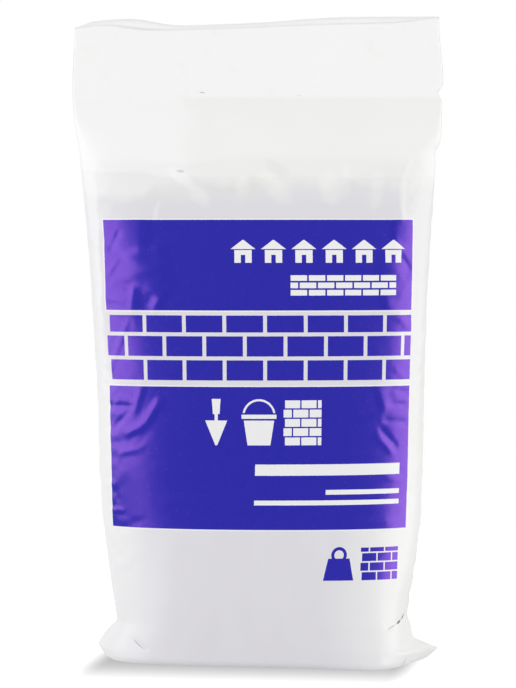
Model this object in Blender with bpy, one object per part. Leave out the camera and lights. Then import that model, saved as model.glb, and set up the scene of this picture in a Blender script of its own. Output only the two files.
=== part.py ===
"""A 5 kg sack of cement that stands on its filled base.

The sack is one tube of plastic film. Its bottom weld lies under the base and ends in two ears.
A second weld closes it above the powder, and an open flap of two layers stands over that weld.
Metres, +Z up, the printed front faces -Y, and the sack rests on Z = 0.
"""

import math

import bmesh
import bpy

# Film tube
LAYFLAT_WIDTH = 0.236  # width of the empty tube, pressed flat
FILM = 0.0002  # thickness of one layer
FLAT_HALF = 0.0006  # half the thickness of the two layers together, with the air between them
MOUTH_HALF = 0.0012  # more than FLAT_HALF at the mouth, where the layers part

# Heights above the floor
EAR_TOP = 0.0255  # the ears leave the sides here
FILL_TOP = 0.3166  # where the powder ends at the sides
WELD_LOW = 0.358
WELD_HIGH = 0.361
MOUTH = 0.407

# Filled body
BASE_ROUNDING = 0.009  # radius between the base and the walls
HALF_WIDTHS = (  # height, half width
    (0.0255, 0.0924),
    (0.0637, 0.0982),
    (0.0962, 0.1013),
    (0.1637, 0.1036),
    (0.2306, 0.1067),
    (0.2873, 0.1105),
    (0.3325, 0.1155),
    (0.3580, 0.1180),
    (0.4070, 0.1165),
)
ROUND_POWER = 2.05  # superellipse exponent of the upper sections, where 2 is an ellipse
SQUARE_POWER = 2.2  # more than ROUND_POWER at the floor, where the base squares the walls
SQUARE_HEIGHT = 0.04  # the base's hold on the walls fades over this height
LENS_POWER = 1.4  # 2 gives an ellipse's round side, 1 a lens with a sharp crease
FLAT_POWER = 60  # how sharply the flattened tube ends at its side creases
FLAT_ROUNDING = 0.2
SHOULDER = 0.675  # how far the film bulges between the powder's top and the weld
BACK_LEAN = 0.006  # how far the mouth leans back
SIDE_LEAN = 0.0022  # how far the base stands to +X of the mouth
LEAN_START = 0.25
BASE_TWIST = math.radians(8)  # turns the base's +X end to the front
TWIST_END = 0.14  # the twist fades up to this height

# Ears: side, reach from the body's middle plane, height of the tip
EARS = ((-1, 0.1046, 0.0096), (1, 0.1110, 0.0060))
EAR_ROOT = 0.032  # half the depth of an ear where it leaves the body
EAR_TAPER = 1.4  # 1 gives straight edges to the tip, more gives hollow ones
EAR_ON_FLOOR = 0.35  # share of an ear's reach that is left at the floor

# Top weld: distances from its ends to the side creases
WELD_SHORT_LEFT = 0.003
WELD_SHORT_RIGHT = 0.005
WELD_EDGE = 0.0005  # the joined strip keeps this far inside the weld's two edges

# Cement
POWDER_GAP = 0.0006  # between the powder and the film
POWDER_EAR_INSET = 0.005  # the ears' tips hold no powder
HEAP = 0.007  # rise of the powder's top in the middle

# Mesh
QUARTER = 14  # faces in a quarter of a ring
CROWDING = 1.9  # above 1, the points of a ring crowd towards the sides
EDGE_RINGS = 4  # in the rounding of the base
BODY_RINGS = ((EAR_TOP, 4), (0.08, 4), (0.26, 6), (FILL_TOP, 3))  # up to a height, so many rings
WEDGE_RINGS = 4  # between the powder's top and the weld
FLAP_RINGS = 4
HEAP_RINGS = 3
GIRTH_STEPS = 40
CREASE_ANGLE = math.radians(50)  # sharper edges than this shade as edges


def blend(value, start, end):
    """0 before start, 1 after end, and a smooth rise between them."""
    share = min(1.0, max(0.0, (value - start) / (end - start)))
    return share * share * (3 - 2 * share)


def half_width(z):
    """Half the sack's width at a height, on a smooth curve through HALF_WIDTHS."""
    points = HALF_WIDTHS
    if z <= points[0][0]:
        return points[0][1]
    last = len(points) - 1
    for i in range(last):
        (z0, w0), (z1, w1) = points[i], points[i + 1]
        if z > z1 and i < last - 1:
            continue
        before, after = points[max(i - 1, 0)], points[min(i + 2, last)]
        rise0 = (w1 - before[1]) / (z1 - before[0])
        rise1 = (after[1] - w0) / (after[0] - z0)
        step = z1 - z0
        t = min(1.0, (z - z0) / step)
        return (
            (1 + 2 * t) * (1 - t) ** 2 * w0
            + t * (1 - t) ** 2 * step * rise0
            + t * t * (3 - 2 * t) * w1
            - t * t * (1 - t) * step * rise1
        )
    return points[last][1]


def squareness(z):
    return ROUND_POWER + SQUARE_POWER * math.exp(-z / SQUARE_HEIGHT)


def ring_angles():
    """Angles of a quarter ring, from the side at 0 to the front or back at a right angle."""
    return [math.pi / 2 * (i / QUARTER) ** CROWDING for i in range(QUARTER + 1)]


def wall_depth(across, depth, power, lens):
    """Depth of the wall in front of the middle plane, at a share of the half width."""
    flat = FLAT_HALF * max(0.0, 1 - across**FLAT_POWER) ** FLAT_ROUNDING
    return flat + depth * max(0.0, 1 - across**power) ** (1 / lens)


def girth(width, depth, power, lens):
    """Length of the film round a section."""
    points = [
        (width * math.cos(a), wall_depth(math.cos(a), depth, power, lens))
        for a in ring_angles()
    ]
    return 4 * sum(math.dist(p, q) for p, q in zip(points, points[1:]))


def filled_depth(z):
    """Half the depth that uses up the whole tube, because film doesn't stretch."""
    power = squareness(z)
    low, high = 0.0, LAYFLAT_WIDTH / 2
    for _ in range(GIRTH_STEPS):
        middle = (low + high) / 2
        if girth(half_width(z), middle, power, power) < 2 * LAYFLAT_WIDTH:
            low = middle
        else:
            high = middle
    return low


def half_depth(z):
    """Half the sack's depth: filled below FILL_TOP, closing to the weld, then opening to the mouth."""
    if z <= EAR_TOP:
        return filled_depth(EAR_TOP)
    if z <= FILL_TOP:
        return filled_depth(z)
    if z <= WELD_LOW:
        left = (WELD_LOW - z) / (WELD_LOW - FILL_TOP)
        return filled_depth(FILL_TOP) * left * (1 + SHOULDER * left * (1 - left))
    return MOUTH_HALF * blend(z, WELD_HIGH, MOUTH)


def ear_growth(z, tip_height):
    """Share of an ear's reach at a height."""
    if z >= EAR_TOP:
        return 0.0
    if z >= tip_height:
        return 1 - blend(z, tip_height, EAR_TOP)
    return EAR_ON_FLOOR + (1 - EAR_ON_FLOOR) * blend(z, 0.0, tip_height)


def centre_of(z):
    """Middle of the section at a height."""
    top = blend(z, LEAN_START, MOUTH)
    return SIDE_LEAN * (1 - blend(z, 0.0, WELD_LOW)), BACK_LEAN * top * top


def ring(z, inset=0.0, rounding=0.0, ear_inset=0.0):
    """One closed section of the sack, counter-clockwise seen from above.

    inset draws the walls in, rounding draws them in again next to the base, and ear_inset
    shortens the ears.
    """
    power = squareness(z)
    lens = power + (LENS_POWER - power) * blend(z, FILL_TOP, WELD_LOW)
    width = half_width(z) - inset - rounding
    depth = half_depth(z) - inset - rounding
    x0, y0 = centre_of(z)
    points = []
    for corner in range(4):
        angles = ring_angles()[::-1] if corner % 2 else ring_angles()
        for a in angles[:-1]:
            side = 1 if corner in (0, 3) else -1
            face = 1 if corner in (0, 1) else -1
            x = width * math.cos(a)
            y = wall_depth(math.cos(a), depth, power, lens)
            for ear_side, reach, tip_height in EARS:
                if ear_side == side:
                    horn = max(0.0, 1 - y / EAR_ROOT) ** EAR_TAPER
                    longer = max(0.0, reach - ear_inset - width)
                    x += longer * ear_growth(z, tip_height) * horn
            points.append((side * x, face * y))
    turn = BASE_TWIST * (1 - blend(z, 0.0, TWIST_END))
    cos, sin = math.cos(turn), math.sin(turn)
    return [(x0 + x * cos + y * sin, y0 - x * sin + y * cos, z) for x, y in points]


def heights(start, end, count):
    """count heights after start, evenly spaced up to end."""
    return [start + (end - start) * (i + 1) / count for i in range(count)]


def base_rings(inset, ear_inset):
    """The base's flat outline and the rounding above it, drawn in by inset."""
    radius = BASE_ROUNDING - inset
    rings = []
    for i in range(EDGE_RINGS + 1):
        angle = math.pi / 2 * i / EDGE_RINGS
        z = inset + radius * (1 - math.cos(angle))
        in_again = radius * (1 - math.sin(angle))
        rings.append(ring(z, inset, in_again, ear_inset))
    return rings


def body_heights():
    found = [BASE_ROUNDING]
    for end, count in BODY_RINGS:
        found += heights(found[-1], end, count)
    return found[1:]


def loft(bm, rings):
    """Walls through the rings, lowest first. Returns the rings' vertices."""
    made = [[bm.verts.new(p) for p in points] for points in rings]
    for low, high in zip(made, made[1:]):
        for i in range(len(low)):
            j = (i + 1) % len(low)
            bm.faces.new((low[i], low[j], high[j], high[i]))
    return made


def cap(bm, verts, upward):
    """Closes a ring with strips from front to back, which a ring's own symmetry allows."""
    count = len(verts)
    half = count // 2
    for i in range(half):
        a, b = verts[i], verts[i + 1]
        c, d = verts[(count - i - 1) % count], verts[(count - i) % count]
        corners = [a, b, c, d]
        corners = [v for k, v in enumerate(corners) if v not in corners[:k]]
        bm.faces.new(corners if upward else corners[::-1])


def new_object(name, bm, material):
    mesh = bpy.data.meshes.new(name)
    bm.to_mesh(mesh)
    bm.free()
    mesh.materials.append(material)
    mesh.shade_smooth()
    mesh.set_sharp_from_angle(angle=CREASE_ANGLE)
    made = bpy.data.objects.new(name, mesh)
    bpy.context.scene.collection.objects.link(made)
    return made


def principled(name, colour, roughness, metallic=0.0):
    material = bpy.data.materials.new(name)
    material.use_nodes = True
    shader = material.node_tree.nodes["Principled BSDF"]
    shader.inputs["Base Color"].default_value = (*colour, 1.0)
    shader.inputs["Roughness"].default_value = roughness
    shader.inputs["Metallic"].default_value = metallic
    return material


def weld_bar(material):
    """The strip where heat has made one layer of the two. It stops short of both side creases."""
    half_thickness = FLAT_HALF - FILM / 2
    width = half_width(WELD_LOW)
    bm = bmesh.new()
    rings = []
    for z in (WELD_LOW + WELD_EDGE, WELD_HIGH - WELD_EDGE):
        x0, y0 = centre_of(z)
        left, right = x0 - width + WELD_SHORT_LEFT, x0 + width - WELD_SHORT_RIGHT
        near, far = y0 - half_thickness, y0 + half_thickness
        rings.append([(right, far, z), (left, far, z), (left, near, z), (right, near, z)])
    made = loft(bm, rings)
    bm.faces.new(made[0][::-1])
    bm.faces.new(made[1])
    bar = new_object("weld_bar", bm, material)
    bar.hide_render = True
    bar.display_type = "WIRE"
    return bar


def film_sack(material):
    """The whole film: a tube closed under the base and open at the mouth, with its top weld."""
    bm = bmesh.new()
    rings = base_rings(0.0, 0.0)
    rings += [ring(z) for z in body_heights()]
    rings += [ring(z) for z in heights(FILL_TOP, WELD_LOW, WEDGE_RINGS)]
    rings += [ring(z) for z in (WELD_HIGH, *heights(WELD_HIGH, MOUTH, FLAP_RINGS))]
    made = loft(bm, rings)
    cap(bm, made[0], upward=False)
    sack = new_object("film_sack", bm, material)

    film = sack.modifiers.new("film_thickness", "SOLIDIFY")
    film.thickness = FILM
    film.offset = -1.0
    film.use_rim = True

    weld = sack.modifiers.new("top_weld", "BOOLEAN")
    weld.operation = "UNION"
    weld.solver = "EXACT"
    weld.object = weld_bar(material)
    return sack


def cement_fill(material):
    """The powder, which takes the film's shape and ends in a low heap."""
    inset = FILM + POWDER_GAP
    bm = bmesh.new()
    rings = base_rings(inset, POWDER_EAR_INSET)
    rings += [ring(z, inset, 0.0, POWDER_EAR_INSET) for z in body_heights()]
    x0, y0 = centre_of(FILL_TOP)
    edge = rings[-1]
    for i in range(1, HEAP_RINGS + 1):
        share = 1 - i / (HEAP_RINGS + 1)
        rise = HEAP * (1 - share * share)
        rings.append(
            [(x0 + (x - x0) * share, y0 + (y - y0) * share, z + rise) for x, y, z in edge]
        )
    made = loft(bm, rings)
    cap(bm, made[0], upward=False)
    cap(bm, made[-1], upward=True)
    return new_object("cement_fill", bm, material)


for old in list(bpy.data.objects):
    bpy.data.objects.remove(old, do_unlink=True)

film_sack(principled("white_film", (0.86, 0.86, 0.87), 0.35))
cement_fill(principled("cement_powder", (0.42, 0.42, 0.41), 0.95))
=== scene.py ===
"""The looks of the cement sack: a crumpled tube of film over settled powder, printed in blue.

Shapes are worked out in millimetres, with the floor at 0, and become metres when a mesh is made.
The printed front faces -Y. A place on the film is given by how far it is round the tube (across,
from the front's middle, positive towards +X) and how high it stands (up).
"""

import math

import bpy
import numpy as np
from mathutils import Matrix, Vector, noise


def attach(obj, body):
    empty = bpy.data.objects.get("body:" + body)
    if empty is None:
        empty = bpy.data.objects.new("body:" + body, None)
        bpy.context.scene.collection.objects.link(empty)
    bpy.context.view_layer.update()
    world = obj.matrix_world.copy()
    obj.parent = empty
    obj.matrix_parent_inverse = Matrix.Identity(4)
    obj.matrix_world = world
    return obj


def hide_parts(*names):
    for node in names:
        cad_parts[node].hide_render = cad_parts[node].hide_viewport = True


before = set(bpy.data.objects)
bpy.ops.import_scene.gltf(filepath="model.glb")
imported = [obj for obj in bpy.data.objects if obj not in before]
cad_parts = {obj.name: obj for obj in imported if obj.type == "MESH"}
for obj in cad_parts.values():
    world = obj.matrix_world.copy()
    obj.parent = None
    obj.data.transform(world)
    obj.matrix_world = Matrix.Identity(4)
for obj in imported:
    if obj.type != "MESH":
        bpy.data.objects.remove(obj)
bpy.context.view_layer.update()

MM = 0.001

# Film tube
GIRTH = 472.0
FLAT_HALF = 0.6
FILM = 0.2
EAR_TOP = 25.5
FILL_TOP = 316.6
WELD_LOW = 358.0
WELD_HIGH = 361.0
BASE_ROUNDING = 4.0
BASE_HOLLOW = 0.7  # how far the base's middle lies above its rim
FOOT = 4.0  # how far the powder spreads the foot, front and back
FOOT_HEIGHT = 110.0
FOOT_SOFTNESS = 14.0
CORNER_HEIGHT = 34.0
ROUND_POWER = 2.05
SQUARE_POWERS = (1.8, 5.0)  # how much squarer the base's left and right corners are
SQUARE_HEIGHT = 26.0
LENS_POWER = 1.4
FLAT_POWER = 60
FLAT_ROUNDING = 0.2
SHOULDER = 0.675
BACK_LEAN = 6.0
LEAN_START = 250.0
BASE_TWIST = math.radians(8)
TWIST_END = 140.0

# Outline: height, distance from the middle of the weld
LEFT_SIDE = (
    (0.0, -88.0), (25.5, -90.0), (41.4, -92.7), (63.7, -95.9), (96.2, -99.1), (135.0, -100.9),
    (163.7, -101.5), (186.6, -102.6), (230.6, -105.5), (261.8, -107.4), (287.3, -109.8),
    (304.5, -111.5), (316.6, -112.7), (332.5, -115.0), (347.2, -117.0), (365.0, -118.0),
    (398.0, -116.4), (412.0, -116.0),
)
RIGHT_SIDE = (
    (0.0, 93.0), (26.1, 94.8), (32.5, 95.1), (57.3, 99.6), (81.5, 102.7), (126.1, 105.0),
    (163.7, 105.7), (219.1, 107.2), (248.4, 108.7), (287.3, 111.0), (304.5, 112.3), (321.7, 112.9),
    (329.3, 116.1), (337.0, 117.0), (354.2, 117.2), (360.5, 114.9), (366.3, 118.2), (377.7, 117.8),
    (394.3, 116.1), (412.0, 115.2),
)
# Ears: height, how far they stand out of the outline above
LEFT_EAR = ((0.0, 12.0), (4.0, 13.6), (7.3, 15.0), (9.0, 14.2), (17.2, 7.6), (25.5, 0.0), (30.0, 0.0))
RIGHT_EAR = (
    (0.0, 13.0), (2.0, 15.5), (5.0, 18.5), (9.0, 21.5), (9.9, 18.0), (10.8, 12.3), (13.6, 6.6), (20.7, 3.6),
    (28.2, 0.3), (30.0, 0.0),
)
EAR_ROOT = 45.0
CORNERS_OUT = (0.0, 7.0)  # how far the left and right corners of the foot stand forward

# Mouth: distance from the middle, height of the film's cut edge
FRONT_MOUTH = (
    (-117.0, 402.0), (-100.0, 403.5), (-70.0, 400.5), (-24.0, 401.5), (46.0, 404.5), (82.0, 405.0), (117.0, 409.0),
)
BACK_MOUTH = (
    (-117.0, 402.0), (-105.0, 406.0), (-82.0, 407.5), (-50.0, 403.5), (-5.0, 405.0), (60.0, 409.0), (117.0, 409.0),
)

# Print: heights of the two panels, half their width, and where their side edges really run
PANELS = ((85.7, 175.0), (222.7, 279.6))
PRINT_HALF = 98.9
PRINT_LEFT = ((0.0, -99.0), (86.0, -98.9), (175.0, -99.8), (280.0, -100.3), (358.0, -100.3))
PRINT_RIGHT = ((0.0, 95.0), (86.0, 95.7), (175.0, 97.4), (223.0, 98.9), (358.0, 98.9))

# Columns of the mesh: the front's are denser at its sides, where the film creases most
CREASE = GIRTH / 4
half_front = np.interp(np.arange(75), (0, 30, 74), (0.0, 60.0, CREASE))
front_columns = np.concatenate([-half_front[::-1], half_front[1:]])
BACK_COUNT = 104
back_columns = CREASE + np.arange(1, BACK_COUNT) * GIRTH / 2 / BACK_COUNT
across = np.concatenate([front_columns, back_columns])
HALF = len(front_columns) - 1  # the column on the right crease; the left crease is column 0
is_front = np.arange(len(across)) <= HALF
from_middle = np.where(is_front, across, GIRTH / 2 - across)  # along the front or the back
to_crease = CREASE - np.abs(from_middle)
ROWS = 245
FOOT_ROWS = 28  # of those, the rows of the lowest 32 mm


def blend(value, start, end):
    """0 before start, 1 after end, and a smooth rise between them."""
    share = np.clip((np.asarray(value, dtype=float) - start) / (end - start), 0.0, 1.0)
    return share * share * (3 - 2 * share)


def curve(points, at):
    """A smooth curve through points that doesn't swing past them."""
    x, y = np.array(points, dtype=float).T
    step = np.diff(x)
    slope = np.diff(y) / step
    same_way = slope[:-1] * slope[1:] > 0
    between = np.where(same_way, 2 * slope[:-1] * slope[1:] / np.where(same_way, slope[:-1] + slope[1:], 1), 0)
    tangent = np.concatenate([slope[:1], between, slope[-1:]])
    at = np.clip(at, x[0], x[-1])
    i = np.clip(np.searchsorted(x, at, side="right") - 1, 0, len(x) - 2)
    t = (at - x[i]) / step[i]
    return (
        (1 + 2 * t) * (1 - t) ** 2 * y[i]
        + t * (1 - t) ** 2 * step[i] * tangent[i]
        + t * t * (3 - 2 * t) * y[i + 1]
        - t * t * (1 - t) * step[i] * tangent[i + 1]
    )


def squareness(z, side):
    """The power of the ring's outline, which is an ellipse at 2 and a rectangle far above it."""
    return ROUND_POWER + SQUARE_POWERS[side] * np.exp(-z / SQUARE_HEIGHT)


def wall_depth(reach, depth, power, lens):
    flat = FLAT_HALF * np.clip(1 - reach**FLAT_POWER, 0, 1) ** FLAT_ROUNDING
    return flat + depth * np.clip(1 - reach**power, 0, 1) ** (1 / lens)


QUARTER = np.cos(math.pi / 2 * np.linspace(0, 1, 72) ** 1.9)  # from the side at 1 to the middle at 0


def filled_depth(z):
    """Half the depth that uses up the whole tube at each height, because film doesn't stretch."""
    around = np.linspace(-24, 24, 13)
    weights = np.exp(-((around / 12) ** 2))
    half = sum(
        w * (curve(RIGHT_SIDE, z + dz) - curve(LEFT_SIDE, z + dz)) / 2
        for dz, w in zip(around, weights)
    ) / weights.sum()
    half = half[:, None]
    low, high = np.zeros_like(half), np.full_like(half, GIRTH / 4)
    for _ in range(40):
        middle = (low + high) / 2
        length = 0.0
        for side in (0, 1):
            power = squareness(z, side)[:, None]
            x, y = half * QUARTER, wall_depth(QUARTER, middle, power, power)
            length = length + 2 * np.hypot(np.diff(x), np.diff(y)).sum(axis=1, keepdims=True)
        low = np.where(length < GIRTH, middle, low)
        high = np.where(length < GIRTH, high, middle)
    return low[:, 0]


def half_depth(z):
    top = filled_depth(np.array([FILL_TOP]))[0]
    left = np.clip((WELD_LOW - z) / (WELD_LOW - FILL_TOP), 0, 1)
    wedge = top * left * (1 + SHOULDER * left * (1 - left))
    above_ears = EAR_TOP + FOOT_SOFTNESS * np.log1p(np.exp((z - EAR_TOP) / FOOT_SOFTNESS))
    filled = filled_depth(np.minimum(above_ears, FILL_TOP)) + FOOT * (1 - blend(z, 0.0, FOOT_HEIGHT))
    return np.where(z <= FILL_TOP, filled, wedge)


def ring(z, depth, inset=0.0):
    """One closed ring of points, at the places across that the columns have."""
    left, right = float(curve(LEFT_SIDE, z)), float(curve(RIGHT_SIDE, z))
    middle = (left + right) / 2
    halves = []
    for side, end, ear in ((0, left, LEFT_EAR), (1, right, RIGHT_EAR)):
        power = squareness(z, side)
        lens = power + (LENS_POWER - power) * blend(z, FILL_TOP, WELD_LOW)
        y = wall_depth(QUARTER, depth, power, lens)
        corner = blend(QUARTER, 0.35, 0.95) * (1 - blend(z, 0.0, CORNER_HEIGHT))
        y = y + CORNERS_OUT[side] * corner * y / max(depth, 1.0)
        horn = float(curve(ear, z)) * np.clip(1 - y / EAR_ROOT, 0, 1)
        reach = abs(end - middle) * QUARTER + horn - inset * QUARTER
        halves.append((middle + math.copysign(1, end) * reach, np.maximum(y - inset * (1 - QUARTER**6), 0)))
    x = np.concatenate([halves[0][0], halves[1][0][::-1][1:]])
    y = np.concatenate([halves[0][1], halves[1][1][::-1][1:]])
    walked = np.concatenate([[0], np.cumsum(np.hypot(np.diff(x), np.diff(y)))])
    marks = (-CREASE, -PRINT_HALF, PRINT_HALF, CREASE)
    really = (-CREASE, float(curve(PRINT_LEFT, z)), float(curve(PRINT_RIGHT, z)), CREASE)
    stops = (np.interp(from_middle, marks, really) + CREASE) * walked[-1] / (GIRTH / 2)
    x, y = np.interp(stops, walked, x), np.interp(stops, walked, y) * np.where(is_front, -1, 1)
    turn = BASE_TWIST * (1 - blend(z, 0.0, TWIST_END))
    x, y = x * math.cos(turn) + y * math.sin(turn), -x * math.sin(turn) + y * math.cos(turn)
    y = y + BACK_LEAN * blend(z, LEAN_START, 407.0) ** 2
    return np.stack([x, y, np.full_like(x, z)], axis=1)


# Rows of the wall, from the floor to the weld
edge_angles = np.linspace(0, math.pi / 2, 7)[:-1]
edge_rows = [(BASE_ROUNDING * (1 - math.cos(a)), BASE_ROUNDING * (1 - math.sin(a))) for a in edge_angles]
wall_rows = np.interp(np.arange(ROWS), (0, FOOT_ROWS, ROWS - 1), (BASE_ROUNDING, 32.0, WELD_LOW))
rows = edge_rows + [(z, 0.0) for z in wall_rows]
heights = np.array([z for z, _ in rows])
depths = half_depth(heights)
smooth_wall = np.array([ring(z, d, inset) for (z, inset), d in zip(rows, depths)])


def outward(points):
    """Unit normals of a stack of rings."""
    along = np.roll(points, -1, axis=1) - np.roll(points, 1, axis=1)
    up = np.gradient(points, axis=0)
    normals = np.cross(along, up)
    return normals / np.maximum(np.linalg.norm(normals, axis=2, keepdims=True), 1e-9)


def noise_on(points, size, seed):
    """Smooth noise from -1 to 1 at each point, with lumps of about that size."""
    places = points.reshape(-1, 3) / size + np.array([seed * 17.3, seed * 7.1, seed * 3.7])
    return np.array([noise.noise(Vector(p)) for p in places]).reshape(points.shape[:-1])


# Folds seen on the film: lower end and upper end (across, up), height outwards, and how wide the
# fold's left and right flanks are
SEEN_FOLDS = (
    # left side of the upper panel
    (-95, 259, -88, 272, -0.5, 2.0, 2.0), (-98, 243, -89, 255, 0.5, 2.5, 2.0),
    (-80, 219, -79, 234, 0.8, 16.0, 6.0), (-75, 256, -73, 284, 1.1, 20.0, 7.0),
    (-66, 232, -59, 247, 1.9, 30.0, 6.0), (-59, 247, -63, 264, 1.9, 30.0, 6.0),
    (-81, 223, -79, 238, 0.8, 3.0, 6.0), (-66, 222, -54, 240, 1.7, 6.0, 3.0),
    (-99, 231, -83, 228, 0.5, 3.0, 3.0),
    # left side of the band and the lower panel
    (-97, 186, -84, 215, 0.4, 3.0, 3.0), (-81, 158, -74, 176, 0.7, 5.0, 3.5),
    (-100, 162, -81, 162, -0.6, 2.0, 2.0), (-96, 148, -83, 160, -0.7, 2.5, 2.5),
    (-87, 144, -73, 151, 1.0, 4.0, 3.0), (-73, 151, -62, 167, 1.1, 4.5, 3.0),
    (-92, 132, -74, 137, 0.4, 2.5, 2.5), (-66, 125, -28, 117, 0.3, 5.0, 5.0),
    (-61, 104, -27, 100, 0.3, 5.0, 5.0), (-100, 96, -89, 96, 0.7, 1.8, 1.8),
    # right side of both panels
    (86, 262, 87, 284, 1.1, 2.5, 14.0), (77, 250, 86, 266, 1.1, 4.0, 18.0),
    (82, 219, 77, 252, 1.2, 4.0, 18.0), (97, 249, 90, 257, -0.6, 2.0, 2.0),
    (81, 159, 75, 176, 0.7, 3.5, 7.0), (85, 174, 98, 170, -0.5, 2.0, 2.0),
    (83, 164, 97, 163, -0.6, 2.2, 2.2), (81, 153, 98, 151, -0.6, 2.2, 2.2),
    (90, 136, 78, 149, -0.8, 2.5, 2.5), (88, 132, 75, 144, 0.6, 2.5, 2.5),
    (51, 142, 83, 161, 0.35, 4.0, 4.0), (94, 115, 81, 118, 0.5, 2.0, 2.0),
    (46, 94, 68, 98, 0.45, 4.0, 4.0), (68, 98, 99, 101, 0.45, 4.0, 4.0), (68, 86, 97, 92, 0.5, 3.0, 3.0),
    # below the powder's level
    (-41, 301, -54, 309, 0.7, 3.0, 3.0), (-31, 287, -41, 301, 0.7, 3.0, 3.0),
    (91, 278, 91, 305, 0.5, 2.5, 2.5), (91, 305, 98, 320, 0.5, 2.5, 2.5),
    # ears
    (-76, 16, -64, 9, -0.8, 2.0, 2.0), (92, 28, 114, 31, -1.5, 2.0, 2.0), (82, 24, 92, 28, -1.0, 2.0, 2.0),
    (89, 0, 91, 7, -0.8, 2.0, 2.0),
)


def folds_on(column_places, row_places, folds):
    """Sharp ridges and valleys with flat flanks, as film creases, added up on a grid."""
    total = np.zeros((len(row_places), len(column_places)))
    x, y = np.meshgrid(column_places, row_places)
    for x0, y0, x1, y1, height, left, right in folds:
        length = math.hypot(x1 - x0, y1 - y0)
        along = ((x - x0) * (x1 - x0) + (y - y0) * (y1 - y0)) / length
        aside = ((x - x0) * (y1 - y0) - (y - y0) * (x1 - x0)) / length
        aside = np.where(aside < 0, -aside / left, aside / right)
        taper = blend(along, -0.15 * length, 0.2 * length) * (1 - blend(along, 0.8 * length, 1.15 * length))
        total += height * taper * np.clip(1 - aside, 0, 1)
    return total


CALM = 0.3  # the front is smoother than the back


def chance_folds(count, seed):
    """Folds as they fall by chance down both sides, front and back, and more of them behind."""
    random = np.random.default_rng(seed)
    folds = []
    for _ in range(count):
        crease = random.choice((-CREASE, CREASE, CREASE, 3 * CREASE))
        into_face = {-CREASE: 1, CREASE: random.choice((-1, 1)), 3 * CREASE: -1}[crease]
        x = crease + into_face * random.gamma(2.0, 10.0)
        y = random.uniform(30, 338)
        angle = random.choice((-1, 1)) * math.radians(random.normal(40, 18))
        length = random.uniform(10, 34)
        dx, dy = length / 2 * math.cos(angle), length / 2 * math.sin(angle)
        height = random.choice((-1, 1, 1)) * random.uniform(0.25, 0.9) * (CALM if abs(x) < CREASE else 1)
        width = random.uniform(2.5, 6.5)
        folds.append((x - dx, y - dy, x + dx, y + dy, height, width, width))
    return folds


def relax(points, slack, start, stiffness, rounds):
    """Film that has a little more length than its smooth shape needs folds by itself.

    Every edge and diagonal wants to be slack longer than it is. They pull in turn, while springs
    over two steps keep the folds from getting too sharp and a weak hold keeps the film in place.
    """
    made = points + start
    row_count, column_count, _ = points.shape

    def family(down, sideways, row_phase, row_stride, column_phase, column_stride, strength):
        first_rows = np.arange(row_phase, row_count - down, row_stride)
        first_columns = np.arange(column_phase, column_count, column_stride)
        a = np.ix_(first_rows, first_columns)
        b = np.ix_(first_rows + down, (first_columns + sideways) % column_count)
        rest = np.linalg.norm(points[b] - points[a], axis=2) * (1 + (slack[a] + slack[b]) / 2)
        return a, b, rest, strength

    springs = []
    for phase in (0, 1):
        springs.append(family(0, 1, 0, 1, phase, 2, 1.0))
        springs.append(family(1, 0, phase, 2, 0, 1, 1.0))
        springs.append(family(1, 1, phase, 2, 0, 1, 0.5))
        springs.append(family(1, -1, phase, 2, 0, 1, 0.5))
    for phase in range(4):
        springs.append(family(0, 2, 0, 1, phase, 4, stiffness))
        springs.append(family(2, 0, phase, 4, 0, 1, stiffness))
    for _ in range(rounds):
        made += HOLD * (points - made)
        for a, b, rest, strength in springs:
            gap = made[b] - made[a]
            length = np.maximum(np.linalg.norm(gap, axis=2), 1e-6)
            push = (0.5 * strength * (1 - rest / length))[..., None] * gap
            made[a] += push
            made[b] -= push
        made[0], made[-1] = points[0], points[-1]
    return made - points


def finer(moved, row_picks, column_picks, shape):
    """Moves known on some rows and columns, spread over all of them."""
    over_rows = np.empty((shape[0], moved.shape[1], 3))
    everywhere = np.empty((*shape, 3))
    closed = np.append(column_picks, shape[1])
    for k in range(3):
        for j in range(moved.shape[1]):
            over_rows[:, j, k] = np.interp(np.arange(shape[0]), row_picks, moved[:, j, k])
        for i in range(shape[0]):
            ring_values = np.append(over_rows[i, :, k], over_rows[i, 0, k])
            everywhere[i, :, k] = np.interp(np.arange(shape[1]), closed, ring_values)
    return everywhere


HOLD = 0.01
MOST_OUT = 3.2
MOST_IN = 1.6
normals = outward(smooth_wall)
z_grid = smooth_wall[..., 2]
near_crease = np.exp(-((to_crease / 30) ** 2))[None, :]
patchy = 0.35 + 1.3 * (noise_on(smooth_wall, 45, 3) * 0.5 + 0.5)
busy = np.where(is_front, CALM, 1.0)[None, :]
slack = 0.001 + 0.018 * busy * near_crease * blend(z_grid, 16, 60) * (1 - 0.6 * blend(z_grid, 300, 340))
slack = slack + 0.006 * (~is_front)[None, :] + 0.008 * busy * (1 - blend(z_grid, 26, 70)) * near_crease
slack = slack * patchy * (1 - blend(z_grid, 335, 354)) * blend(z_grid, 4, 14)

folds = folds_on(across, heights, SEEN_FOLDS)
folds = folds + folds_on(across, heights, chance_folds(230, 5))
folds = folds * (1 - blend(z_grid, 335, 356)) * blend(z_grid, 1, 8)
seeds = folds + 0.4 * noise_on(smooth_wall, 24, 1) * (1 - blend(z_grid, 330, 356)) * blend(z_grid, 2, 12)

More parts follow.
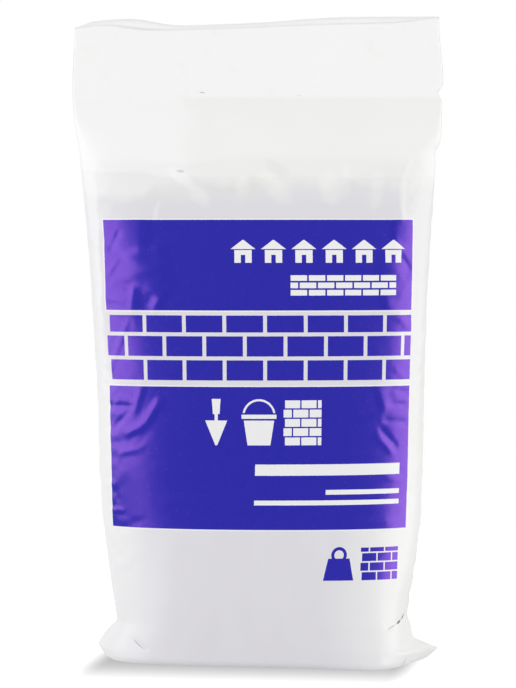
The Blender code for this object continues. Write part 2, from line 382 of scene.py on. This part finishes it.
row_picks = np.unique(np.append(np.arange(0, len(rows), 3), len(rows) - 1))
column_picks = np.arange(0, len(across), 2)
some = np.ix_(row_picks, column_picks)
start = normals * seeds[..., None]
rough = relax(smooth_wall[some], 1.2 * slack[some], start[some], 0.15, 120)
start = finer(rough, row_picks, column_picks, z_grid.shape) + 0.5 * normals * folds[..., None]
moved = relax(smooth_wall, slack, start, 0.12, 50)
moved += 0.25 * normals * folds[..., None]
outwards = (moved * normals).sum(axis=2)
wanted = np.where(outwards > 0, MOST_OUT * np.tanh(outwards / MOST_OUT), MOST_IN * np.tanh(outwards / MOST_IN))
wall = smooth_wall + moved + normals * (wanted - outwards)[..., None]

# Base: the film runs in under the powder to the bottom weld
BASE_SHARES = (1.0, 0.93, 0.8, 0.6, 0.4, 0.2, 0.08)
base = []
for share in BASE_SHARES:
    rim = wall[0].copy()
    turn = BASE_TWIST
    along = rim[:, 0] * math.cos(turn) - rim[:, 1] * math.sin(turn)
    on_weld = np.stack([along * math.cos(turn), -along * math.sin(turn), np.zeros_like(along)], axis=1)
    row = rim + share * (on_weld - rim)
    row[:, 2] = BASE_HOLLOW * blend(share, 0.0, 0.5)
    base.append(row)
base = np.array(base)

# Flap: two layers of film above the weld, outside and then inside
FLAP_ROWS = 26
INNER_ROWS = 10
weld_x = wall[-1, :, 0]
sign = np.where(is_front, -1.0, 1.0)
sign[[0, HALF]] = 0


def flap_row(share, layer):
    """A row of the flap, from the weld at 0 to the mouth at 1; layer is 1 outside and less inside."""
    mouth = np.where(is_front, curve(FRONT_MOUTH, weld_x), curve(BACK_MOUTH, weld_x))
    z = WELD_HIGH + (mouth - WELD_HIGH) * share
    left, right = curve(LEFT_SIDE, z), curve(RIGHT_SIDE, z)
    reach = np.clip(weld_x / np.where(weld_x > 0, weld_x.max(), -weld_x.min()), -1, 1)
    x = np.where(weld_x > 0, reach * right, -reach * left)
    wave = 1.5 * np.sin(x / 34 + 0.6) + 0.9 * np.sin(x / 17 - 1.0) + 0.5 * np.sin(x / 8.5 + 2.0)
    apart = FLAT_HALF * layer + 0.25 * share * (1 - (x / 118) ** 2).clip(0)
    y = BACK_LEAN * blend(z, LEAN_START, 407.0) ** 2 + wave * share**1.3 + sign * apart
    return np.stack([x, y, z], axis=1)


outside = np.array([flap_row(i / FLAP_ROWS, 1.0) for i in range(FLAP_ROWS + 1)])
inside = np.array([flap_row(1 - i / INNER_ROWS, 0.6 - 0.5 * (i / INNER_ROWS) ** 4) for i in range(INNER_ROWS + 1)])
film_points = np.concatenate([base, wall, outside, inside])

# How high each point is on the film, going on under the base and over the mouth's edge
edge_length = BASE_ROUNDING * math.pi / 2
wall_up = np.where(heights < BASE_ROUNDING, 0.0, heights)
wall_up[: len(edge_rows)] = BASE_ROUNDING - edge_length * (1 - np.linspace(0, 1, 7)[:-1])
film_up = np.concatenate([
    np.repeat((BASE_ROUNDING - edge_length - 43 * np.array(BASE_SHARES))[:, None], len(across), axis=1),
    np.repeat(wall_up[:, None], len(across), axis=1),
    outside[..., 2],
    2 * outside[-1, :, 2][None, :] - inside[..., 2],
])
FILM_MAP = 1000.0  # millimetres to a width of the print's map
BAKE_MAP = 500.0
BAKE_LIFT = 60.0


def film_mesh(name, points, places_across, places_up, flap_start):
    """The tube's faces, with a map of film places and one that gives each patch a place of its own."""
    row_count, column_count, _ = points.shape
    i, j = np.meshgrid(np.arange(row_count - 1), np.arange(column_count), indexing="ij")
    corners = ((0, 0), (0, 1), (1, 1), (1, 0))
    faces = np.stack([(i + di) * column_count + (j + dj) % column_count for di, dj in corners], axis=-1)
    mesh = bpy.data.meshes.new(name)
    mesh.from_pydata((points.reshape(-1, 3) * MM).tolist(), [], faces.reshape(-1, 4).tolist())
    mesh.shade_smooth()
    round_again = np.append(places_across, 3 * CREASE)
    u = np.stack([round_again[j + dj] for _, dj in corners], axis=-1)
    v = np.stack([places_up[i + di, (j + dj) % column_count] for di, dj in corners], axis=-1)
    film_map = mesh.uv_layers.new(name="film")
    film_map.uv.foreach_set("vector", np.stack([u / FILM_MAP + 0.5, v / FILM_MAP], axis=-1).ravel())
    behind = (j >= HALF)[..., None]
    inner = (i >= flap_start)[..., None]
    bake_u = (u + CREASE) / BAKE_MAP + np.where(behind, 0.02, 0.005)
    bake_v = np.where(inner, 0.945 + (v - 400) / 1000, (v + BAKE_LIFT) / BAKE_MAP)
    bake_map = mesh.uv_layers.new(name="OFBake")
    bake_map.uv.foreach_set("vector", np.stack([bake_u, bake_v], axis=-1).ravel())
    made = bpy.data.objects.new(name, mesh)
    bpy.context.scene.collection.objects.link(made)
    return made


class Value:
    """A number that a material's nodes work out at each place, so that masks read as arithmetic."""

    def __init__(self, tree, socket):
        self.tree = tree
        self.socket = socket

    def math(self, operation, *others):
        node = self.tree.nodes.new("ShaderNodeMath")
        node.operation = operation
        for slot, value in zip(node.inputs, (self, *others)):
            if isinstance(value, Value):
                self.tree.links.new(value.socket, slot)
            else:
                slot.default_value = value
        return Value(self.tree, node.outputs[0])

    def __add__(self, other):
        return self.math("ADD", other)

    def __sub__(self, other):
        return self.math("SUBTRACT", other)

    def __mul__(self, other):
        return self.math("MULTIPLY", other)

    def __lt__(self, other):
        return self.math("LESS_THAN", other)

    def __gt__(self, other):
        return self.math("GREATER_THAN", other)

    def __abs__(self):
        return self.math("ABSOLUTE")

    def __or__(self, other):
        return self.math("MAXIMUM", other)

    def without(self, other):
        return self * (other * -1 + 1)

    def between(self, low, high):
        return (self > low) * (self < high)

    def rise(self, low, high):
        """0 below low, 1 above high and a smooth rise between them."""
        node = self.tree.nodes.new("ShaderNodeMapRange")
        node.interpolation_type = "SMOOTHSTEP"
        self.tree.links.new(self.socket, node.inputs["Value"])
        node.inputs["From Min"].default_value = low
        node.inputs["From Max"].default_value = high
        return Value(self.tree, node.outputs["Result"])


def trapezoid(x, y, middle, low, high, low_half, high_half):
    """1 inside an upright trapezoid, which is also a box, a roof or a blade."""
    slope = (high_half - low_half) / (high - low)
    half = y * slope + (low_half - slope * low)
    return (abs(x - middle) < half) * y.between(low, high)


def ring_mask(x, y, middle, height, radius, width):
    away = ((x - middle) * (x - middle) + (y - height) * (y - height)).math("SQRT")
    return away.between(radius - width, radius)


def bricks(x, y, left, low, length, course, joint):
    """1 on bricks laid in running bond, 0 in the joints between them."""
    shift = ((y - low) * (1 / course)).math("FLOOR").math("PINGPONG", 1.0) * (length / 2)
    along = (x - left + shift).math("WRAP", length, 0.0)
    rise = (y - low).math("WRAP", course, 0.0)
    return (along > joint) * (rise > joint)


def houses(x, y, left, right, low):
    """A street of small houses with gable roofs."""
    pace = 19.0
    here = (x - left).math("WRAP", pace, 0.0)
    body = trapezoid(here, y, pace / 2, low, low + 8, 5.4, 5.4)
    door = trapezoid(here, y, pace / 2, low, low + 5, 1.4, 1.4)
    roof = trapezoid(here, y, pace / 2, low + 8.6, low + 14.3, 7.8, 0.4)
    return (body.without(door) | roof) * x.between(left, right)


def trowel(x, y, middle, low):
    blade = trapezoid(x, y, middle, low, low + 15.5, 0.6, 7.0)
    neck = trapezoid(x, y, middle, low + 15.5, low + 19.5, 1.0, 1.0)
    handle = trapezoid(x, y, middle, low + 19.5, low + 29, 2.1, 2.8)
    return blade | neck | handle


def bucket(x, y, middle, low):
    body = trapezoid(x, y, middle, low, low + 15.5, 7.2, 9.6)
    rim = trapezoid(x, y, middle, low + 16.6, low + 19.2, 11.0, 11.0)
    handle = ring_mask(x, y, middle, low + 18.5, 10.4, 1.3) * (y > low + 20.2)
    return body | rim | handle


def small_wall(x, y, middle, low, half, height):
    inside = trapezoid(x, y, middle, low, low + height, half, half)
    return inside * bricks(x, y, middle - half, low - 0.9, 10.4, 5.8, 0.9)


def weight(x, y, middle, low):
    body = trapezoid(x, y, middle, low, low + 13.5, 9.6, 6.8)
    knob = ring_mask(x, y, middle, low + 15.6, 5.0, 2.0)
    return body | knob


def print_masks(x, y):
    """Where ink lies, and where a thin bright edge runs round the panels."""
    across_print = abs(x) < PRINT_HALF
    panels = (y.between(*PANELS[0]) | y.between(*PANELS[1])) * across_print
    edges = [y.between(low - 0.8, high + 0.8) for low, high in PANELS]
    edge = (edges[0] | edges[1]) * (abs(x) < PRINT_HALF + 0.8)
    upper = houses(x, y, -19.0, 95.0, 252.6)
    course = bricks(x, y, 19.0, 231.0, 11.4, 4.6, 1.1) * x.between(20.0, 87.4) * y.between(232.0, 244.9)
    signs = trowel(x, y, -27.0, 138.5) | bucket(x, y, 0.0, 138.5) | small_wall(x, y, 27.5, 138.5, 12.0, 28.2)
    rules = y.between(119.5, 126.5) * x.between(-2.3, 92.5) | y.between(107.5, 110.5) * x.between(43.0, 92.5)
    rules = rules | y.between(101.0, 104.0) * x.between(-2.3, 92.5)
    left_bare = upper | course | signs | rules
    band = bricks(x, y, -PRINT_HALF, 176.6, 25.4, 15.0, 2.4) * across_print * y.between(178.0, 219.6)
    marks = weight(x, y, 53.0, 54.5) | small_wall(x, y, 80.0, 54.5, 13.0, 20.0)
    return panels.without(left_bare) | band | marks, edge


def noise_value(tree, place, scale, detail=2.0, rough=0.5):
    node = tree.nodes.new("ShaderNodeTexNoise")
    node.inputs["Scale"].default_value = scale
    node.inputs["Detail"].default_value = detail
    node.inputs["Roughness"].default_value = rough
    tree.links.new(place, node.inputs["Vector"])
    return Value(tree, node.outputs["Fac"])


# Painted shade: dark lines where a fold closes on itself, standing in for the shadow inside the crease: ends
# (across, up), half width, how dark
CREASE_SHADE_LINES = (
    (-36.0, 361.0, -31.0, 360.3, 0.5, 0.5), (25.0, 358.4, 31.0, 359.0, 0.35, 0.25),
    (-51.0, 310.5, -45.0, 310.0, 1.1, 0.25), (-76.5, 16.2, -64.0, 8.6, 0.5, 0.45),
    (113.0, 31.5, 100.0, 28.3, 0.7, 0.9), (101.0, 28.7, 92.0, 26.5, 0.8, 0.9),
    (93.0, 27.0, 82.0, 23.8, 0.5, 0.4), (89.0, 0.0, 91.2, 6.5, 0.5, 0.6),
)


def near_line(x, y, x0, y0, x1, y1, width):
    """1 on a thin line that narrows to its ends."""
    length = math.hypot(x1 - x0, y1 - y0)
    cos, sin = (x1 - x0) / length, (y1 - y0) / length
    along = (x - x0) * cos + (y - y0) * sin
    aside = abs((x - x0) * -sin + (y - y0) * cos)
    ends = (along * length - along * along) * (4 / length**2)
    return (aside - ends.math("MAXIMUM", 0.0) * width).rise(0.0, -0.35)


# Soft marks below the powder's level: ends (across, up), half width, and how much more powder shows.
# The film stands off the powder where less shows.
POWDER_MARKS = (
    (-58.0, 313.0, -38.0, 298.0, 5.0, -0.34), (-46.0, 305.0, -26.0, 281.0, 7.0, -0.36),
    (-7.0, 309.0, -10.0, 292.0, 6.0, -0.3), (-2.0, 311.0, 23.0, 289.0, 7.0, -0.34),
    (42.0, 313.0, 50.0, 286.0, 9.0, -0.36), (57.0, 318.0, 55.0, 290.0, 5.0, -0.2),
    (76.0, 314.0, 74.0, 282.0, 6.0, -0.24), (-62.0, 293.0, -66.0, 275.0, 2.4, -0.4),
    (-76.0, 317.0, -20.0, 318.5, 4.5, -0.14), (-108.0, 272.0, -92.0, 292.0, 9.0, -0.2),
    (-100.0, 279.0, -44.0, 290.0, 13.0, 0.16), (-62.0, 282.0, -6.0, 288.0, 9.0, 0.24),
    (6.0, 280.0, 74.0, 285.0, 9.0, 0.14), (-34.0, 295.0, 0.0, 300.5, 6.0, 0.12),
    (3.0, 319.0, 22.0, 306.0, 5.0, 0.25), (58.0, 297.0, 96.0, 315.0, 9.0, 0.12),
)
LEVEL = 302.0
# How much of the powder's grey the side strips get at the top: painted shade that dims them
SIDE_SHARE = 0.5


def soft_mark(x, y, x0, y0, x1, y1, half):
    """1 in the middle of an oval mark, less towards its rim, and 0 past it."""
    length = math.hypot(x1 - x0, y1 - y0)
    cos, sin = (x1 - x0) / length, (y1 - y0) / length
    middle_x, middle_y = (x0 + x1) / 2, (y0 + y1) / 2
    along = ((x - middle_x) * cos + (y - middle_y) * sin) * (2 / length)
    aside = ((x - middle_x) * -sin + (y - middle_y) * cos) * (1 / half)
    return (along * along + aside * aside).rise(1.0, 0.0)


def powder_grey_and_painted_side_light(x, y, clouds, drips, strokes):
    """How much the powder greys the film: in steps below its level, and less beside it. Beside it the grey is
    partly real and partly painted light and shade. Low down it fades out over a wide span towards the sides, which
    paints the lower sides lighter. The side strips get a share of it that grows with height, which paints their
    upper part darker.
    """
    x, y = x + drips * 7.0, y + clouds * 5.0
    first = y.rise(320.5, 315.0) * 0.17
    left_part = x.rise(-58.0, -74.0)
    second = (y + drips * 5.0 - left_part * 4.5).rise(307.6, 305.0) * 0.27
    third = (y + strokes * 14.0 + drips * 6.0 + left_part * 9.0).rise(LEVEL + 4.0, LEVEL - 4.0) * 0.41
    level = first + second + third + y.rise(300.0, 284.0) * 0.13
    level = level * (strokes * y.rise(318.0, 300.0) * -0.3 + 1.0)
    for *mark, more in POWDER_MARKS:
        level = level + soft_mark(x, y, *mark) * more
    # Painted light: low down the grey fades over a wider span towards the sides, so the lower sides come out
    # lighter
    painted_light_low_down = y.rise(230.0, 90.0)
    right_edge = y.rise(302.0, 322.0) * 8.0 + 91.0
    outside = (x - right_edge) | (x * -1 - 103.0)
    inside = (outside + clouds * 5.0 + painted_light_low_down * 8.0).math("DIVIDE", painted_light_low_down * 46.0 + 1.5).rise(0.5, -1.0)
    # Painted shade: the side strips get a share of the grey that grows with height
    side_grey_and_painted_shade = y.rise(60.0, 320.0) * SIDE_SHARE
    return level * (inside + side_grey_and_painted_shade.without(inside)) * (clouds * 0.3 + 1.0)


def film_material():
    material = bpy.data.materials.new("printed_film")
    material.use_nodes = True
    tree = material.node_tree
    tree.nodes.clear()

    def node(kind, **inputs):
        made = tree.nodes.new(kind)
        for name, value in inputs.items():
            made.inputs[name.replace("_", " ")].default_value = value
        return made

    place = node("ShaderNodeUVMap")
    place.uv_map = "film"
    split = node("ShaderNodeSeparateXYZ")
    tree.links.new(place.outputs["UV"], split.inputs[0])
    x = (Value(tree, split.outputs["X"]) - 0.5) * FILM_MAP
    y = Value(tree, split.outputs["Y"]) * FILM_MAP

    # Ink with slightly ragged edges
    ragged = noise_value(tree, place.outputs["UV"], 700.0) - 0.5
    ink, edge = print_masks(x + ragged * 0.25, y + ragged * 0.25)

    clouds = noise_value(tree, place.outputs["UV"], 26.0, 3.0, 0.6)
    drips = noise_value(tree, place.outputs["UV"], 60.0, 3.0, 0.6)
    upright = node("ShaderNodeCombineXYZ")
    tree.links.new((x * 0.055).socket, upright.inputs[0])
    tree.links.new((y * 0.018).socket, upright.inputs[1])
    strokes = noise_value(tree, upright.outputs[0], 1.0, 1.0, 0.5)
    powder_and_painted_side_light = powder_grey_and_painted_side_light(x, y, clouds - 0.5, drips - 0.5, strokes - 0.5)

    def mix(low, high, share, blend_type="MIX"):
        made = node("ShaderNodeMix")
        made.data_type = "RGBA"
        made.blend_type = blend_type
        tree.links.new(share.socket, made.inputs["Factor"])
        for slot, value in ((made.inputs[6], low), (made.inputs[7], high)):
            if isinstance(value, tuple):
                slot.default_value = (*value, 1)
            else:
                tree.links.new(value, slot)
        return made.outputs[2]

    # Above the powder the film below the weld is painted a little darker than the flap. Right of the wedge's left
    # part it is darker and greener again. Both are partly the film's own tint and partly painted shade of the
    # empty sack inside. The yellowed streaks are the film's own tint.
    hollow_shade = y.rise(359.0, 356.0) * (x + (clouds - 0.5) * 60).rise(-55.0, -30.0)
    yellowed = drips.rise(0.56, 0.68) * y.rise(312.0, 330.0) * 0.6
    unfilled_tone_and_shade = mix((0.915, 0.915, 0.915), (0.897, 0.897, 0.897), y.rise(362.0, 352.0))
    unfilled_tone_and_shade = mix(unfilled_tone_and_shade, (0.89, 0.89, 0.855), yellowed)
    unfilled_tone_and_shade = mix(unfilled_tone_and_shade, (0.865, 0.872, 0.848), hollow_shade * (clouds + 0.4).math("MINIMUM", 1.0))
    powder_tone = mix((0.738, 0.738, 0.742), (0.722, 0.71, 0.745), (y - x * 0.06).rise(304.0, 288.0))
    colour = mix(unfilled_tone_and_shade, powder_tone, powder_and_painted_side_light)
    colour = mix(colour, (0.9, 0.9, 0.9), edge * 0.7)
    # Painted shade along the closed folds
    for *line, dark in CREASE_SHADE_LINES:
        colour = mix(colour, (0.12, 0.12, 0.12), near_line(x, y, *line) * dark)

    # Fine unevenness of blown film
    fine = noise_value(tree, place.outputs["UV"], 190.0, 3.0, 0.55)
    bump = node("ShaderNodeBump", Strength=0.12, Distance=0.0003)
    tree.links.new(fine.socket, bump.inputs["Height"])
    uneven = fine * 0.1

    film = node("ShaderNodeBsdfPrincipled", Specular_IOR_Level=0.15)
    tree.links.new(colour, film.inputs["Base Color"])
    tree.links.new((uneven + 0.29).socket, film.inputs["Roughness"])
    tree.links.new(bump.outputs["Normal"], film.inputs["Normal"])
    printed = node("ShaderNodeBsdfPrincipled", Specular_IOR_Level=0.9)
    printed.inputs["Specular Tint"].default_value = (0.85, 0.3, 1.0, 1)
    worn = noise_value(tree, place.outputs["UV"], 340.0, 4.0, 0.7)
    ink_colour = mix((0.009, 0.021, 0.4), (0.012, 0.025, 0.445), worn)
    tree.links.new(ink_colour, printed.inputs["Base Color"])
    tree.links.new((uneven + 0.21).socket, printed.inputs["Roughness"])
    tree.links.new(bump.outputs["Normal"], printed.inputs["Normal"])
    both = node("ShaderNodeMixShader")
    tree.links.new(ink.socket, both.inputs[0])
    tree.links.new(film.outputs[0], both.inputs[1])
    tree.links.new(printed.outputs[0], both.inputs[2])
    out = node("ShaderNodeOutputMaterial")
    tree.links.new(both.outputs[0], out.inputs["Surface"])
    return material


flap_start = len(base) + len(wall) + len(outside) - 1
film = film_mesh("film", film_points, across, film_up, flap_start)
film.data.materials.append(film_material())
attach(film, "root")
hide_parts("film_sack")

# Powder: it keeps clear of the film's folds
POWDER_GAP = 4.5
HEAP = 6.0
powder_rows = []
for z in (BASE_HOLLOW + 0.6, *np.arange(POWDER_GAP, FILL_TOP - 2, 6.0), FILL_TOP - 2):
    depth = float(half_depth(np.array([max(z, 1.0)]))[0])
    powder_rows.append(ring(z, depth, POWDER_GAP + (2.0 if z < POWDER_GAP else 0.0))[::3])
top = powder_rows[-1]
centre = top.mean(axis=0)
for share in (0.25, 0.5, 0.75, 0.98):
    row = top + share * (centre - top)
    row[:, 2] = top[:, 2] + HEAP * (1 - (1 - share) ** 2)
    powder_rows.append(row)
foot = powder_rows[0]
floor_middle = foot.mean(axis=0)
powder_rows = [foot + 0.98 * (floor_middle - foot)] + powder_rows
powder_points = np.array(powder_rows)


def powder_material():
    material = bpy.data.materials.new("cement_powder")
    material.use_nodes = True
    tree = material.node_tree
    shader = tree.nodes["Principled BSDF"]
    shader.inputs["Roughness"].default_value = 0.95
    place = tree.nodes.new("ShaderNodeTexCoord").outputs["Object"]
    grain = noise_value(tree, place, 900.0, 4.0, 0.7)
    ramp = tree.nodes.new("ShaderNodeValToRGB")
    ramp.color_ramp.elements[0].color = (0.26, 0.26, 0.25, 1)
    ramp.color_ramp.elements[1].color = (0.5, 0.5, 0.48, 1)
    tree.links.new(grain.socket, ramp.inputs["Fac"])
    tree.links.new(ramp.outputs["Color"], shader.inputs["Base Color"])
    bump = tree.nodes.new("ShaderNodeBump")
    bump.inputs["Strength"].default_value = 0.6
    bump.inputs["Distance"].default_value = 0.0005
    tree.links.new(grain.socket, bump.inputs["Height"])
    tree.links.new(bump.outputs["Normal"], shader.inputs["Normal"])
    return material


def closed_tube(name, points):
    """Faces through rings of points, with both ends closed."""
    row_count, column_count, _ = points.shape
    i, j = np.meshgrid(np.arange(row_count - 1), np.arange(column_count), indexing="ij")
    corners = ((0, 0), (0, 1), (1, 1), (1, 0))
    faces = np.stack([(i + di) * column_count + (j + dj) % column_count for di, dj in corners], axis=-1)
    faces = faces.reshape(-1, 4).tolist()
    faces.append(list(range(column_count))[::-1])
    faces.append(list(range((row_count - 1) * column_count, row_count * column_count)))
    mesh = bpy.data.meshes.new(name)
    mesh.from_pydata((points.reshape(-1, 3) * MM).tolist(), [], faces)
    mesh.shade_smooth()
    made = bpy.data.objects.new(name, mesh)
    bpy.context.scene.collection.objects.link(made)
    return made


powder = closed_tube("powder", powder_points)
powder.data.materials.append(powder_material())
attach(powder, "root")
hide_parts("cement_fill")


# Stage: a white floor, with a shadow painted round the sack's foot where it keeps the light away: the glow the
# camera sees is lower there
FLOOR_RADIUS = 0.9
FLOOR_GLOW = 0.6
FLOOR_SEEN = 1.05
SHADOW_GLOW = 0.36
FOOT_HALF = (0.090, 0.030)
SHADOW_WIDTH = (0.022, 0.115)
bpy.ops.mesh.primitive_circle_add(vertices=96, radius=FLOOR_RADIUS, fill_type="NGON")
floor = bpy.context.object
floor.name = "floor"
floor_material = bpy.data.materials.new("floor")
floor_material.use_nodes = True
tree = floor_material.node_tree
shader = tree.nodes["Principled BSDF"]
shader.inputs["Base Color"].default_value = (0.2, 0.2, 0.205, 1)
shader.inputs["Roughness"].default_value = 0.8
shader.inputs["Specular IOR Level"].default_value = 0.0
shader.inputs["Emission Color"].default_value = (1, 1, 1, 1)
split = tree.nodes.new("ShaderNodeSeparateXYZ")
tree.links.new(tree.nodes.new("ShaderNodeTexCoord").outputs["Object"], split.inputs[0])
x, y = Value(tree, split.outputs["X"]), Value(tree, split.outputs["Y"])
cos, sin = math.cos(BASE_TWIST), math.sin(BASE_TWIST)
x, y = x * cos - y * sin, x * sin + y * cos
away_x = (abs(x) - FOOT_HALF[0]).math("MAXIMUM", 0.0) * (1 / SHADOW_WIDTH[0])
away_y = (abs(y) - FOOT_HALF[1]).math("MAXIMUM", 0.0) * (1 / SHADOW_WIDTH[1])
# Painted shadow: to the camera the floor glows less towards the sack's foot
glow_beyond_painted_shadow = (away_x * away_x + away_y * away_y).math("SQRT").rise(0.0, 1.0) * (FLOOR_SEEN - SHADOW_GLOW)
seen = Value(tree, tree.nodes.new("ShaderNodeLightPath").outputs["Is Camera Ray"])
glow = seen * (glow_beyond_painted_shadow + (SHADOW_GLOW - FLOOR_GLOW)) + FLOOR_GLOW
tree.links.new(glow.socket, shader.inputs["Emission Strength"])
floor.data.materials.append(floor_material)
floor.visible_glossy = False

# World: soft light from all round, and white to the camera. In reflections it is white behind the
# sack and dim in front of it.
WORLD_LIGHT = 0.95
WORLD_GLOSS = 0.1
WORLD_GLOSS_BEHIND = 0.8
world = bpy.data.worlds.new("studio")
bpy.context.scene.world = world
world.use_nodes = True
tree = world.node_tree
path = tree.nodes.new("ShaderNodeLightPath")
seen = Value(tree, path.outputs["Is Camera Ray"])
mirrored = Value(tree, path.outputs["Is Glossy Ray"])
split = tree.nodes.new("ShaderNodeSeparateXYZ")
tree.links.new(tree.nodes.new("ShaderNodeTexCoord").outputs["Generated"], split.inputs[0])
behind = Value(tree, split.outputs["Y"]).rise(0.1, 0.7) * (WORLD_GLOSS_BEHIND - WORLD_GLOSS)
strength = seen * (1.0 - WORLD_LIGHT) + mirrored * (behind + (WORLD_GLOSS - WORLD_LIGHT)) + WORLD_LIGHT
background = tree.nodes["Background"]
background.inputs["Color"].default_value = (1, 1, 1, 1)
tree.links.new(strength.socket, background.inputs["Strength"])


def softbox(name, place, aim, size, watts, mirrored):
    """An area light. One that is mirrored shows as sheen only, and any other one not at all."""
    light = bpy.data.lights.new(name, "AREA")
    light.shape = "RECTANGLE"
    light.size, light.size_y = size
    light.energy = watts
    made = bpy.data.objects.new(name, light)
    made.location = place
    made.rotation_euler = (Vector(aim) - Vector(place)).to_track_quat("-Z", "Y").to_euler()
    made.visible_camera = False
    made.visible_diffuse = not mirrored
    made.visible_glossy = mirrored
    bpy.context.scene.collection.objects.link(made)
    return made


# Lights: name, place, what it points at, size, watts, and whether it shows as sheen only
LIGHTS = (
    ("left_side", (-1.5, -0.5, 0.5), (0, 0, 0.2), (1.0, 0.8), 1.8, False),
    ("right_side", (1.5, -0.5, 0.5), (0, 0, 0.2), (1.0, 0.8), 3.2, False),
    ("low_left", (-1.3, -0.7, 0.1), (0, 0, 0.1), (0.8, 0.3), 1.5, False),
    ("left_box", (-1.19, -0.386, 0.5), (0, 0, 0.25), (1.4, 1.1), 18.0, True),
    ("right_box", (1.23, -0.217, 0.4), (0, 0, 0.25), (1.27, 1.1), 19.0, True),
)
for light in LIGHTS:
    softbox(*light)

camera_data = bpy.data.cameras.new("camera")
camera_data.sensor_width = 36
camera_data.lens = 158.5
camera = bpy.data.objects.new("camera", camera_data)
camera.location = (0.0002, -1.93, 0.269)
camera.rotation_euler = (math.radians(90 - 2.03), 0, 0)
bpy.context.scene.collection.objects.link(camera)
bpy.context.scene.camera = camera
bpy.context.scene.view_settings.view_transform = "Standard"
